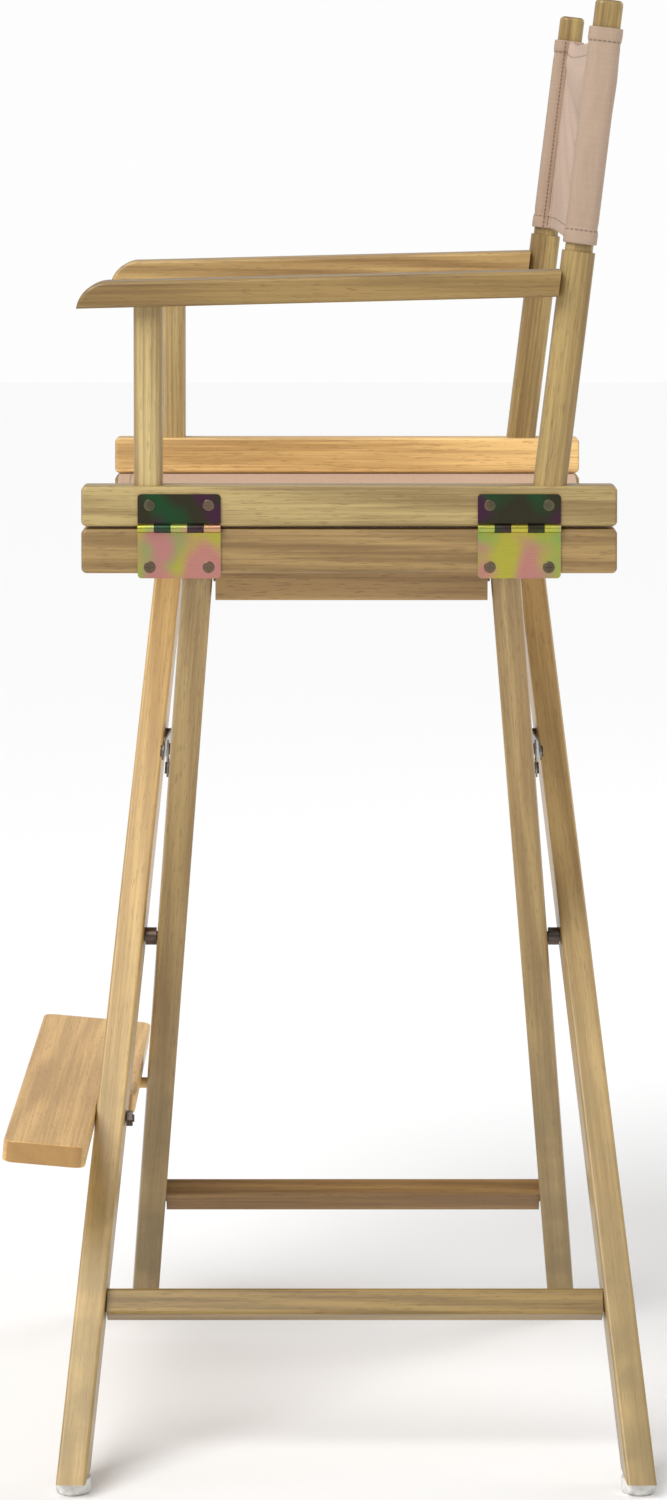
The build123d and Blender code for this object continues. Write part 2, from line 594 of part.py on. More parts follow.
def rear_post():
    """Leaning post: thicker below the shoulder on which the sling sits."""
    stretch = math.hypot(1, REAR_POST_LEAN)
    below = REAR_POST
    lower_length = (SHOULDER_Z - RAIL_TOP) * stretch + below
    lower = Pos(0, 0, -below) * square_bar(REAR_POST, lower_length, POST_ROUND)
    lower = post_plane(RAIL_MIDDLE_X, RAIL_TOP) * lower
    lower -= box_between((0, 2 * RAIL_OUTER_X), (0, RAIL_LENGTH), (0, RAIL_TOP))
    upper = square_bar(REAR_POST_TOP, (OVERALL_HEIGHT - SHOULDER_Z) * stretch, POST_ROUND)
    upper = fillet(upper.edges().group_by(Axis.Z)[-1], 3.5)
    upper = post_plane(RAIL_MIDDLE_X, SHOULDER_Z) * upper
    tenon = Pos(RAIL_MIDDLE_X, REAR_POST_Y, RAIL_TOP - TENON_DEPTH) * Cylinder(
        TENON_DIAMETER / 2, TENON_DEPTH, align=(Align.CENTER, Align.CENTER, Align.MIN))
    return lower + upper + tenon - arm_screw()


def arm_end_y(z):
    """Front face of the rear post at a height, where the arm ends."""
    half = REAR_POST / 2 * math.hypot(1, REAR_POST_LEAN)
    return REAR_POST_Y + REAR_POST_LEAN * (z - RAIL_TOP) - half


def arm_blank():
    """Arm before its holes: a flat bar with a quarter-round nose, rising slightly to the rear."""
    def height(y):
        return ARM_FRONT_TOP + ARM_SLOPE * (y - ARM_FRONT_Y)

    nose_y = ARM_FRONT_Y + ARM_NOSE
    top_y, under_y = arm_end_y(height(REAR_POST_Y)), arm_end_y(height(REAR_POST_Y) - ARM_THICKNESS)
    nose = ThreePointArc(
        (ARM_FRONT_Y, height(ARM_FRONT_Y) - ARM_THICKNESS),
        (ARM_FRONT_Y + 0.27 * ARM_NOSE, height(ARM_FRONT_Y) - 0.31 * ARM_THICKNESS),
        (nose_y, height(nose_y)))
    rest = Polyline(
        nose @ 1, (top_y, height(top_y)), (under_y, height(under_y) - ARM_THICKNESS), nose @ 0)
    profile = make_face(Plane.YZ * (nose + rest))
    bar = Pos(RAIL_MIDDLE_X - ARM_WIDTH / 2, 0, 0) * extrude(profile, ARM_WIDTH, dir=(1, 0, 0))
    sides = bar.faces().filter_by(Axis.X).edges().filter_by(lambda edge: edge.center().Y < top_y - 2)
    return fillet(sides, 3.0)


def arm():
    blank = arm_blank()
    underside = ARM_FRONT_TOP - ARM_THICKNESS
    blank -= tenon_hole(FRONT_POST_Y, underside - ARM_TENON_DEPTH, underside + ARM_TENON_DEPTH)
    return blank - arm_screw()


def front_post():
    """Upright post between the rail and the arm, with a round tenon at each end."""
    underside = ARM_FRONT_TOP - ARM_THICKNESS
    height = underside + ARM_THICKNESS / 2 - RAIL_TOP
    post = Pos(RAIL_MIDDLE_X, FRONT_POST_Y, RAIL_TOP) * square_bar(FRONT_POST, height, POST_ROUND)
    post -= arm_blank()
    length = TENON_DEPTH + underside - RAIL_TOP + ARM_TENON_DEPTH
    return post + Pos(RAIL_MIDDLE_X, FRONT_POST_Y, RAIL_TOP - TENON_DEPTH) * Cylinder(
        TENON_DIAMETER / 2, length, align=(Align.CENTER, Align.CENTER, Align.MIN))


def arm_screw():
    """Screw from behind, through the rear post into the end of the arm."""
    z = ARM_FRONT_TOP + ARM_RISE - ARM_THICKNESS / 2
    front = arm_end_y(z)
    rear = front + REAR_POST * math.hypot(1, REAR_POST_LEAN)
    shank = rod_y(RAIL_MIDDLE_X, z, front - 35, rear - 2, SCREW_SHANK_DIAMETER)
    return shank + rod_y(RAIL_MIDDLE_X, z, rear - 4, rear - 1, SCREW_HEAD_DIAMETER)


# ---- canvas ------------------------------------------------------------------------------------
def seat_dowel():
    """Round stick in the hem of the seat canvas."""
    return rod_y(RAIL_MIDDLE_X, SPLIT_Z, -SEAT_LENGTH / 2, SEAT_LENGTH / 2, SEAT_DOWEL_DIAMETER)


def seat_canvas():
    """Seat stretched between the rails, with a hem round the stick at each side."""
    half = SEAT_LENGTH / 2
    inner = SEAT_DOWEL_DIAMETER + 2 * HEM_PLAY
    outer = inner + 2 * CANVAS_THICKNESS
    flat_x = RAIL_MIDDLE_X - inner / 2 - CANVAS_THICKNESS / 2
    z = (SPLIT_Z - CANVAS_THICKNESS / 2, SPLIT_Z + CANVAS_THICKNESS / 2)
    sheet = box_between((-flat_x, flat_x), (-half, half), z)
    for x in (-RAIL_MIDDLE_X, RAIL_MIDDLE_X):
        sheet += rod_y(x, SPLIT_Z, -half, half, outer)
    for x in (-RAIL_MIDDLE_X, RAIL_MIDDLE_X):
        sheet -= rod_y(x, SPLIT_Z, -half - 1, half + 1, inner)
    return sheet


def sleeve_outer():
    return REAR_POST_TOP + 2 * SLEEVE_PLAY + 2 * SLEEVE_WALL


def sling_sleeve():
    """The left sleeve of the back sling, slipped over its rear post."""
    length = SLING_HEIGHT * math.hypot(1, REAR_POST_LEAN)
    tube = square_bar(sleeve_outer(), length, POST_ROUND + SLEEVE_PLAY + SLEEVE_WALL)
    hollow = square_bar(REAR_POST_TOP + 2 * SLEEVE_PLAY, length + 2, POST_ROUND + SLEEVE_PLAY)
    return post_plane(RAIL_MIDDLE_X, SHOULDER_Z + SLING_ABOVE_SHOULDER) * (tube - Pos(0, 0, -1) * hollow)


def sling_panel():
    """The flat cloth between the two sleeves."""
    length = SLING_HEIGHT * math.hypot(1, REAR_POST_LEAN)
    width = 2 * RAIL_MIDDLE_X - sleeve_outer()
    panel = Box(width, CANVAS_THICKNESS, length, align=(Align.CENTER, Align.CENTER, Align.MIN))
    return post_plane(0, SHOULDER_Z + SLING_ABOVE_SHOULDER) * panel


# ---- nodes -------------------------------------------------------------------------------------
def side_nodes(name, side):
    """Everything that belongs to one seat rail and to the arm hinged on it."""
    row = "inner" if side > 0 else "outer"
    middles = (-HINGE_Y, HINGE_Y)
    ends = ("front", "rear")
    left_hand = {
        "lower_rail": lower_rail(),
        "apron": apron(row),
        "apron_screws": apron_screws(),
        "top_pivot_bolts": [top_bolt(row, end) for end in ends],
        "top_pivot_washers": [top_washer(row, end) for end in ends],
        "lower_hinge_leaves": [hinge_leaf(middle, False) for middle in middles],
        "hinge_pins": [hinge_pin(middle) for middle in middles],
        "lower_hinge_screws": [crossed(s, LOWER_SCREW_Z) for s in hinge_screws(LOWER_SCREW_Z)],
        "upper_rail": upper_rail(),
        "upper_hinge_leaves": [hinge_leaf(middle, True) for middle in middles],
        "upper_hinge_screws": [crossed(s, UPPER_SCREW_Z) for s in hinge_screws(UPPER_SCREW_Z)],
        "front_post": front_post(),
        "rear_post": rear_post(),
        "arm": arm(),
        "arm_screw": arm_screw(),
        "seat_dowel": seat_dowel(),
        "sling_sleeve": sling_sleeve(),
    }
    return {f"{name}_{node}": mirror_all(solid, side) for node, solid in left_hand.items()}


def mirror_all(solid, side):
    solids = solid if isinstance(solid, list) else [solid]
    return [mirrored(one, side) for one in solids]


def frame_nodes(row):
    """One leg frame: two legs, a stretcher, glides and the screws of its stays."""
    nodes = {f"{row}_stretcher": [stretcher(row)]}
    for end in ("front", "rear"):
        nodes[f"{row}_{end}_leg"] = [leg(row, end)]
        nodes[f"{end}_{row}_stay_link"] = [stay_link(row, end)]
        nodes[f"{end}_{row}_stay_rivet"] = [stay_rivet(row, end)]
    nodes[f"{row}_glides"] = [glide(row, end) for end in ("front", "rear")]
    nodes[f"{row}_stay_screws"] = [stay_screw(row, end) for end in ("front", "rear")]
    return nodes


def all_nodes():
    nodes = {}
    for name, side in SIDES.items():
        nodes.update(side_nodes(name, side))
    for row in ("inner", "outer"):
        nodes.update(frame_nodes(row))
    nodes["cross_bolts"] = [cross_bolt(end) for end in ("front", "rear")]
    nodes["cross_spacers"] = [cross_spacer(end) for end in ("front", "rear")]
    nodes["footrest_board"] = [footrest_board()]
    nodes["footrest_bolt"] = [foot_bolt()]
    nodes["footrest_nut"] = [foot_nut()]
    nodes["footrest_peg"] = [peg()]
    nodes["seat_canvas"] = [seat_canvas()]
    nodes["sling_panel"] = [sling_panel()]
    return nodes


def solids_of(shapes):
    return [piece for shape in shapes for piece in shape.solids()]


def middle_of_depth(nodes):
    """Middle of the overall depth, front to back."""
    boxes = [shape.bounding_box() for shapes in nodes.values() for shape in shapes]
    return (min(box.min.Y for box in boxes) + max(box.max.Y for box in boxes)) / 2


def export_all(nodes, shift):
    os.makedirs("parts", exist_ok=True)
    for name, shapes in nodes.items():
        pieces = [Pos(0, -shift, 0) * piece for piece in solids_of(shapes)]
        whole = Compound(children=pieces) if len(pieces) > 1 else pieces[0]
        export_step(whole, f"parts/{name}.step")
        print(f"{name}: {len(pieces)} solid(s)")


def print_pivots(shift):
    """Places and axes of the turning joints, as they are after the shift."""
    print("moved back by", round(-shift, 3))
    print("top pivots at x", TOP_PIVOT_X, "z", TOP_PIVOT_Z, "crossing at z", round(CROSS_Z, 3))
    print("leg angle from upright", round(LEG_ANGLE, 3))
    print("hinge axis at x", HINGE_AXIS_X, "z", SPLIT_Z)
    for row in ("inner", "outer"):
        for end in ("front", "rear"):
            frame, _ = stay_frame(row, end)
            origin = frame.origin - Vector(0, shift, 0)
            print(row, end, "stay pivot", tuple(origin), "axis", tuple(frame.z_dir))
    foot_y = leg_y("outer", "front", GLIDE_HEIGHT) - shift
    print("outer front glide at", leg_x("outer", GLIDE_HEIGHT), foot_y)


built = all_nodes()
depth_middle = middle_of_depth(built)
export_all(built, depth_middle)
print_pivots(depth_middle)
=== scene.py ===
# %% [markdown]
# A tall folding chair: two crossed leg frames, a canvas seat slung between two rails, a canvas back slipped
# over two posts, flat arms and a footrest. The wooden and metal parts are fixed shapes that are loaded first
# and only given materials. The cloth is made here.

# %% Load the fixed parts
import math
import bmesh
import bpy
from mathutils import Matrix, Vector, noise


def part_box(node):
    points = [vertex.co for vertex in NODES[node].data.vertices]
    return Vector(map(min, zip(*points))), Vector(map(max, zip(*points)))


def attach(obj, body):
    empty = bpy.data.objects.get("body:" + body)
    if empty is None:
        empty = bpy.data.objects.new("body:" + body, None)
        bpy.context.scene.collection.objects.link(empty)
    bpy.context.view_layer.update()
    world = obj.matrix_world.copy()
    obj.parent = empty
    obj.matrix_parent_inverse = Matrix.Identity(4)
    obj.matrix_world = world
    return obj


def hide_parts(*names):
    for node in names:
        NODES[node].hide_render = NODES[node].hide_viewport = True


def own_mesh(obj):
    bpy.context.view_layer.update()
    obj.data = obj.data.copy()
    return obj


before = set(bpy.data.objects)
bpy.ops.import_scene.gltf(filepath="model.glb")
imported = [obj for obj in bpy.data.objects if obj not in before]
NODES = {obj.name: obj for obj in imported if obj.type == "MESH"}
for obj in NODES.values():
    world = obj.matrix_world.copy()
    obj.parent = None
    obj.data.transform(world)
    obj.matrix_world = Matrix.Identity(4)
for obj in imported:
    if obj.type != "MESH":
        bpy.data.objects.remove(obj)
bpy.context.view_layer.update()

# %% [markdown]
# The chair is seen from its left side through a long lens, from the height of the back sling. The camera
# looks slightly down and a vertical shift frames the whole chair, so its upright lines converge only a
# little.

# %% Camera
CAMERA_PLACE = (3.4593, 0.0037, 1.0579)
CAMERA_LENS, SENSOR_WIDTH = 100.66, 36.0
CAMERA_SHIFT = -0.2785
PITCH_DOWN = 2.779
camera_data = bpy.data.cameras.new("side_camera")
camera = bpy.data.objects.new("side_camera", camera_data)
bpy.context.scene.collection.objects.link(camera)
bpy.context.scene.camera = camera
camera_data.lens, camera_data.sensor_width = CAMERA_LENS, SENSOR_WIDTH
camera_data.shift_y = CAMERA_SHIFT
camera_data.clip_start, camera_data.clip_end = 0.05, 60.0
camera.location = CAMERA_PLACE
camera.rotation_euler = (math.radians(90 - PITCH_DOWN), 0, math.radians(90))
print("camera at", tuple(camera.location))

# %% [markdown]
# Soft studio light: a sun with a very wide disc, as soft as a large window, an even white sky, and a weak
# panel at the back. The sky is white where the camera sees it and dimmer where it lights the chair.

# %% Floor and light
FLOOR_REACH = 14.0
LIGHT_TARGET = (0, 0, 0.6)
SKY_LIGHTING, SKY_SEEN = 0.50, 0.985
floor_mesh = bmesh.new()
bmesh.ops.create_grid(floor_mesh, x_segments=2, y_segments=2, size=FLOOR_REACH)
floor_data = bpy.data.meshes.new("studio_floor")
floor_mesh.to_mesh(floor_data)
floor_mesh.free()
floor = bpy.data.objects.new("studio_floor", floor_data)
bpy.context.scene.collection.objects.link(floor)


def plain_material(name, color, roughness, metallic=0.0):
    """A material with its shader's own values set, ready for a pattern to be linked in."""
    material = bpy.data.materials.new(name)
    material.use_nodes = True
    shader = material.node_tree.nodes["Principled BSDF"]
    shader.inputs["Base Color"].default_value = (*color, 1)
    shader.inputs["Roughness"].default_value = roughness
    shader.inputs["Metallic"].default_value = metallic
    return material, shader


floor_material, _ = plain_material("studio_floor", (0.97, 0.97, 0.97), 0.8)
floor_data.materials.append(floor_material)

world = bpy.data.worlds.new("studio")
world.use_nodes = True
sky = world.node_tree.nodes["Background"]
seen = world.node_tree.nodes.new("ShaderNodeLightPath")
strength = world.node_tree.nodes.new("ShaderNodeMapRange")
strength.inputs["To Min"].default_value = SKY_LIGHTING
strength.inputs["To Max"].default_value = SKY_SEEN
world.node_tree.links.new(seen.outputs["Is Camera Ray"], strength.inputs["Value"])
world.node_tree.links.new(strength.outputs["Result"], sky.inputs["Strength"])
sky.inputs["Color"].default_value = (1, 1, 1, 1)
bpy.context.scene.world = world
bpy.context.scene.view_settings.view_transform = "Standard"


def soft_light(name, kind, place, power, size):
    """A light aimed at the middle of the chair; size is a disc's angle for a sun, a width for a panel."""
    light = bpy.data.lights.new(name, kind)
    light.energy = power
    if kind == "SUN":
        light.angle = math.radians(size)
    else:
        light.size = size
    lamp = bpy.data.objects.new(name, light)
    lamp.location = place
    lamp.rotation_euler = (Vector(LIGHT_TARGET) - Vector(place)).to_track_quat("-Z", "Y").to_euler()
    bpy.context.scene.collection.objects.link(lamp)


soft_light("window", "SUN", (1.9, -1.3, 2.9), 2.3, 38)
soft_light("back_panel_light", "AREA", (-1.0, 2.6, 1.9), 18, 1.4)
print("lights:", len(bpy.data.lights))

# %% [markdown]
# Several materials share patterns: wood grain, a plain weave, a row of stitches. Each is a node group,
# built once. This helper makes an empty group with named sockets.

# %% Helpers for node groups
SOCKETS = {"vector": "NodeSocketVector", "float": "NodeSocketFloat", "color": "NodeSocketColor"}


def new_group(name, inputs, outputs):
    """An empty shader group; inputs and outputs map a socket's name to its kind."""
    group = bpy.data.node_groups.new(name, "ShaderNodeTree")
    for way, sockets in (("INPUT", inputs), ("OUTPUT", outputs)):
        for label, kind in sockets.items():
            group.interface.new_socket(label, in_out=way, socket_type=SOCKETS[kind])
    return group, group.nodes.new("NodeGroupInput"), group.nodes.new("NodeGroupOutput")


def connect(tree, source, target):
    """Links a socket, or sets a plain value."""
    if isinstance(source, bpy.types.NodeSocket):
        tree.links.new(source, target)
    else:
        target.default_value = source


def maths(tree, operation, first, second=0.0, third=0.0):
    node = tree.nodes.new("ShaderNodeMath")
    node.operation = operation
    for socket, value in zip(node.inputs, (first, second, third)):
        connect(tree, value, socket)
    return node.outputs[0]


def vector_maths(tree, operation, first, second):
    node = tree.nodes.new("ShaderNodeVectorMath")
    node.operation = operation
    connect(tree, first, node.inputs[0])
    connect(tree, second, node.inputs[1])
    return node.outputs["Value"] if operation == "DOT_PRODUCT" else node.outputs["Vector"]


def spread(tree, value, low, high, to_low=0.0, to_high=1.0):
    """Stretches the part of value between low and high over the new range."""
    node = tree.nodes.new("ShaderNodeMapRange")
    node.interpolation_type = "SMOOTHSTEP"
    for label, number in (("From Min", low), ("From Max", high), ("To Min", to_low), ("To Max", to_high)):
        connect(tree, number, node.inputs[label])
    connect(tree, value, node.inputs["Value"])
    return node.outputs["Result"]


def mixed(tree, share, first, second):
    node = tree.nodes.new("ShaderNodeMix")
    node.data_type = "RGBA"
    connect(tree, share, node.inputs[0])
    connect(tree, first, node.inputs[6])
    connect(tree, second, node.inputs[7])
    return node.outputs[2]


def cloudy(tree, vector, scale, detail=3.0, roughness=0.5, distortion=0.0):
    node = tree.nodes.new("ShaderNodeTexNoise")
    connect(tree, vector, node.inputs["Vector"])
    values = {"Scale": scale, "Detail": detail, "Roughness": roughness, "Distortion": distortion}
    for label, number in values.items():
        node.inputs[label].default_value = number
    return node.outputs["Fac"]


print("helpers ready")

# %% [markdown]
# The wood is a light hardwood under clear lacquer. Its grain is long streaks with wavy year rings between
# them, short dark pores and a browner end grain. The group takes coordinates whose X runs along the board,
# so one group serves every board, each with its own two tones and its own start point.

# %% Board grain group
grain, grain_in, grain_out = new_group(
    "Board Grain",
    {"Vector": "vector", "Along": "vector", "Light": "color", "Dark": "color", "End": "color",
     "Start": "vector"},
    {"Color": "color", "Roughness": "float", "Height": "float"})
board = vector_maths(grain, "ADD", grain_in.outputs["Vector"], grain_in.outputs["Start"])
drift = cloudy(grain, vector_maths(grain, "MULTIPLY", board, (2.2, 12.0, 12.0)), 1.0, 2.0)
streaks = cloudy(grain, vector_maths(grain, "MULTIPLY", board, (7.0, 430.0, 430.0)), 1.0, 4.0, 0.7, 0.2)
rings_node = grain.nodes.new("ShaderNodeTexWave")
rings_node.wave_type, rings_node.bands_direction = "BANDS", "DIAGONAL"
for label, number in (("Scale", 1.0), ("Distortion", 9.0), ("Detail", 2.0), ("Detail Scale", 1.2)):
    rings_node.inputs[label].default_value = number
connect(grain, vector_maths(grain, "MULTIPLY", board, (1.3, 26.0, 26.0)), rings_node.inputs["Vector"])
rings = rings_node.outputs["Fac"]
pores_noise = cloudy(grain, vector_maths(grain, "MULTIPLY", board, (75.0, 900.0, 900.0)), 1.0, 1.5)
pores = spread(grain, pores_noise, 0.58, 0.70)
tone = maths(grain, "ADD", maths(grain, "MULTIPLY", drift, 0.45), maths(grain, "MULTIPLY", streaks, 0.55))
tone = maths(grain, "ADD", tone, maths(grain, "MULTIPLY", rings, 0.14))
tone = spread(grain, tone, 0.40, 0.74)
face_color = mixed(grain, tone, grain_in.outputs["Light"], grain_in.outputs["Dark"])
face_color = mixed(grain, maths(grain, "MULTIPLY", pores, 0.45), face_color, grain_in.outputs["End"])
facing = grain.nodes.new("ShaderNodeNewGeometry").outputs["Normal"]
end_share = maths(grain, "ABSOLUTE", vector_maths(grain, "DOT_PRODUCT", facing, grain_in.outputs["Along"]))
end_share = spread(grain, end_share, 0.62, 0.86, 0.0, 0.85)
connect(grain, mixed(grain, end_share, face_color, grain_in.outputs["End"]), grain_out.inputs["Color"])
connect(grain, maths(grain, "MULTIPLY_ADD", streaks, 0.16, 0.34), grain_out.inputs["Roughness"])
height = maths(
    grain, "SUBTRACT", maths(grain, "MULTIPLY", streaks, 0.5), maths(grain, "MULTIPLY", pores, 0.8))
connect(grain, height, grain_out.inputs["Height"])
print("grain nodes:", len(grain.nodes))

# %% [markdown]
# Each board gets a material of its own: the direction it runs in, its tones and where in the grain it
# starts. The boards of such a chair are never alike, so the rails are browner and the legs lighter.

# %% Board material
END_SHADE = (0.50, 0.42, 0.34)
WORN_SHADE = (0.46, 0.48, 0.46)
DARK_WARMTH = 0.35


def group_node(material, group):
    node = material.node_tree.nodes.new("ShaderNodeGroup")
    node.node_tree = group
    return node


def object_place(material):
    return material.node_tree.nodes.new("ShaderNodeTexCoord").outputs["Object"]


def add_bump(material, shader, height, strength, distance):
    bump = material.node_tree.nodes.new("ShaderNodeBump")
    bump.inputs["Strength"].default_value = strength
    bump.inputs["Distance"].default_value = distance
    connect(material.node_tree, height, bump.inputs["Height"])
    connect(material.node_tree, bump.outputs["Normal"], shader.inputs["Normal"])


def board_material(name, along, tone, start, contrast=0.30, worn_below=0.0):
    """Lacquered wood with its grain along a direction. Legs are stained and dull below a height."""
    light = tuple(channel * (1 + contrast) for channel in tone)
    dark = tuple(channel * (1 - contrast) * (1 - DARK_WARMTH * contrast * index)
                 for index, channel in enumerate(tone))
    end = tuple(channel * share for channel, share in zip(tone, END_SHADE))
    material, shader = plain_material(name, tone, 0.4)
    along = Vector(along).normalized()
    mapping = material.node_tree.nodes.new("ShaderNodeMapping")
    mapping.vector_type = "POINT"
    mapping.inputs["Rotation"].default_value = along.rotation_difference(Vector((1, 0, 0))).to_euler("XYZ")
    connect(material.node_tree, object_place(material), mapping.inputs["Vector"])
    node = group_node(material, grain)
    connect(material.node_tree, mapping.outputs["Vector"], node.inputs["Vector"])
    for label, value in (("Along", along), ("Light", (*light, 1)), ("Dark", (*dark, 1)), ("End", (*end, 1)),
                         ("Start", (0.37 * start, 0.71 * start, 1.13 * start))):
        node.inputs[label].default_value = value
    color = node.outputs["Color"]
    if worn_below:
        tree = material.node_tree
        apart = tree.nodes.new("ShaderNodeSeparateXYZ")
        connect(tree, object_place(material), apart.inputs["Vector"])
        low = spread(tree, apart.outputs["Z"], 0.0, worn_below, 0.85, 0.0)
        blotches = spread(tree, cloudy(tree, object_place(material), 26.0, 4.0), 0.30, 0.66, 0.55, 1.0)
        worn = tuple(channel * share for channel, share in zip(tone, WORN_SHADE))
        color = mixed(tree, maths(tree, "MULTIPLY", low, blotches), color, (*worn, 1))
    connect(material.node_tree, color, shader.inputs["Base Color"])
    connect(material.node_tree, node.outputs["Roughness"], shader.inputs["Roughness"])
    shader.inputs["Coat Weight"].default_value = 0.3
    shader.inputs["Coat Roughness"].default_value = 0.25
    add_bump(material, shader, node.outputs["Height"], 0.25, 0.0004)
    return material


def dress(node_name, material):
    """Puts one material on a fixed part."""
    slots = NODES[node_name].data.materials
    for index in range(len(slots)):
        slots[index] = material


print("materials so far:", len(bpy.data.materials))

# %% [markdown]
# The legs slope two ways at once, so the direction of each is worked out from the box of its part: from the
# high end, under a rail, to the low end on the floor. The other boards run along an axis.

# %% Legs
PALE = (0.58, 0.395, 0.155)
LEG_WIDTH, LEG_THICKNESS = 0.038, 0.023
STAIN_HEIGHT = 0.62


def leg_direction(node_name):
    """From the foot of a leg to its top, read from the box of its part."""
    low, high = (Vector(corner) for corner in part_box(node_name))
    run_x, run_y = high.x - low.x - LEG_WIDTH, high.y - low.y - LEG_THICKNESS
    to_left = 1 if node_name.startswith("inner") else -1
    to_back = 1 if "front" in node_name else -1
    return Vector((to_left * run_x, to_back * run_y, high.z - low.z))


LEG_TONES = {"inner_front_leg": 0.66, "inner_rear_leg": 0.74, "outer_front_leg": 1.08, "outer_rear_leg": 0.86}
for start, (name, share) in enumerate(LEG_TONES.items(), 1):
    tone = [share * channel for channel in PALE]
    dress(name, board_material(name + "_wood", leg_direction(name), tone, start, 0.24, STAIN_HEIGHT))
dress("inner_stretcher", board_material("inner_stretcher_wood", (0, 1, 0), (0.26, 0.150, 0.046), 11))
dress("outer_stretcher", board_material("outer_stretcher_wood", (0, 1, 0), (0.245, 0.158, 0.040), 12))
print("leg direction:", tuple(round(x, 3) for x in leg_direction("outer_front_leg").normalized()))

# %% [markdown]
# Rails, arms and posts: the left arm and the rails are the brownest boards, and the rear posts are close to
# them. The front posts are paler, and so is the footrest board, which is almost peach. The right upper rail
# is given a much lighter tone than the other rails: painted light, to lift the shade that the left arm casts
# on it.

# %% Rails, arms, posts and footrest
BOARDS = {
    "lower_rail": ((0, 1, 0), (0.310, 0.200, 0.070)),
    "upper_rail": ((0, 1, 0), (0.365, 0.268, 0.104)),
    "apron": ((0, 1, 0), (0.335, 0.205, 0.074)),
    "arm": ((0, 1, 0), (0.420, 0.275, 0.100)),
    "front_post": ((0, 0, 1), (0.490, 0.370, 0.160)),
    "rear_post": ((0, 0.121, 1), (0.345, 0.240, 0.086)),
    "seat_dowel": ((0, 1, 0), PALE)}
# Painted light: the right upper rail's tone is about twice the other rails', to lift the shade that the left
# arm casts on it. The left arm's darker tone is its own.
ODD_TONES_AND_PAINTED_LIGHT = {"right_upper_rail": (0.720, 0.480, 0.190), "left_arm": (0.262, 0.166, 0.050)}
for first, side in ((20, "left"), (40, "right")):
    for number, (part, (along, tone)) in enumerate(BOARDS.items(), first):
        name = f"{side}_{part}"
        dress(name, board_material(f"{name}_wood", along, ODD_TONES_AND_PAINTED_LIGHT.get(name, tone), number, 0.34))
dress("footrest_board", board_material("footrest_wood", (1, 0, 0), (0.700, 0.440, 0.155), 63, 0.20))
dress("footrest_peg", board_material("peg_wood", (0, 1, 0), PALE, 67))
print("wooden materials:", sum("wood" in m.name for m in bpy.data.materials))

# %% [markdown]
# Metal: the butt hinges are yellow zinc, which shimmers from yellow to green and rose. The leaves carry a
# painted reflection: the upper ones are painted nearly black for the dark room, the lower ones bright for the
# light. Bolts, spacers and rivets are dark, the folding stays grey, the screws dull bronze. Stains and fine
# scratches break up the shine, so they share one group.

# %% Metal patina group
patina, patina_in, patina_out = new_group(
    "Metal Patina", {"Vector": "vector", "Clean": "color", "Stain": "color", "Third": "color"},
    {"Color": "color", "Roughness": "float", "Height": "float"})
metal_place = patina_in.outputs["Vector"]
clouds = cloudy(patina, metal_place, 26.0, 1.5, 0.4)
scratches = cloudy(patina, vector_maths(patina, "MULTIPLY", metal_place, (900.0, 60.0, 900.0)), 1.0, 2.0)
patches = cloudy(patina, vector_maths(patina, "ADD", metal_place, (3.1, 1.7, 0.4)), 26.0, 1.0)
stained = spread(patina, clouds, 0.42, 0.66)
shade = mixed(patina, stained, patina_in.outputs["Clean"], patina_in.outputs["Stain"])
shade = mixed(patina, spread(patina, patches, 0.44, 0.60, 0.0, 0.85), shade, patina_in.outputs["Third"])
connect(patina, shade, patina_out.inputs["Color"])
dullness = spread(patina, maths(patina, "ADD", clouds, scratches), 0.7, 1.4, 0.22, 0.46)
connect(patina, dullness, patina_out.inputs["Roughness"])
connect(patina, scratches, patina_out.inputs["Height"])


def metal_material(name, clean, stain, third):
    material, shader = plain_material(name, clean, 0.35, 1.0)
    node = group_node(material, patina)
    connect(material.node_tree, object_place(material), node.inputs["Vector"])
    for label, value in (("Clean", clean), ("Stain", stain), ("Third", third)):
        node.inputs[label].default_value = (*value, 1)
    connect(material.node_tree, node.outputs["Color"], shader.inputs["Base Color"])
    connect(material.node_tree, node.outputs["Roughness"], shader.inputs["Roughness"])
    add_bump(material, shader, node.outputs["Height"], 0.12, 0.0002)
    return material


# Painted reflection: the lower leaves and pins get the bright zinc colour, the upper leaves a nearly black
# one for the dark room they mirror.
lower_zinc_painted_bright_reflection = metal_material("lower_leaf_zinc_painted_bright_reflection", (0.50, 0.46, 0.07), (0.28, 0.42, 0.12), (0.60, 0.22, 0.24))
upper_zinc_painted_dark_reflection = metal_material(
    "upper_leaf_zinc_painted_dark_reflection", (0.050, 0.045, 0.028), (0.025, 0.090, 0.035), (0.080, 0.028, 0.065))
bronze_zinc = metal_material("screw_zinc", (0.16, 0.145, 0.09), (0.10, 0.09, 0.055), (0.20, 0.13, 0.09))
dark_steel = metal_material("dark_steel", (0.10, 0.085, 0.075), (0.06, 0.055, 0.05), (0.14, 0.10, 0.08))
grey_steel = metal_material("grey_steel", (0.30, 0.29, 0.27), (0.20, 0.19, 0.18), (0.26, 0.23, 0.19))
DARK_PARTS = ("bolt", "spacer", "rivet", "washer", "stay_screws", "arm_screw", "footrest_nut")
for name in NODES:
    if "lower_hinge_leaves" in name or "hinge_pins" in name:
        dress(name, lower_zinc_painted_bright_reflection)
    elif "upper_hinge_leaves" in name:
        dress(name, upper_zinc_painted_dark_reflection)
    elif "hinge_screws" in name or "apron_screws" in name:
        dress(name, bronze_zinc)
    elif name.endswith("stay_link"):
        dress(name, grey_steel)
    elif any(word in name for word in DARK_PARTS):
        dress(name, dark_steel)
print("metals dressed")
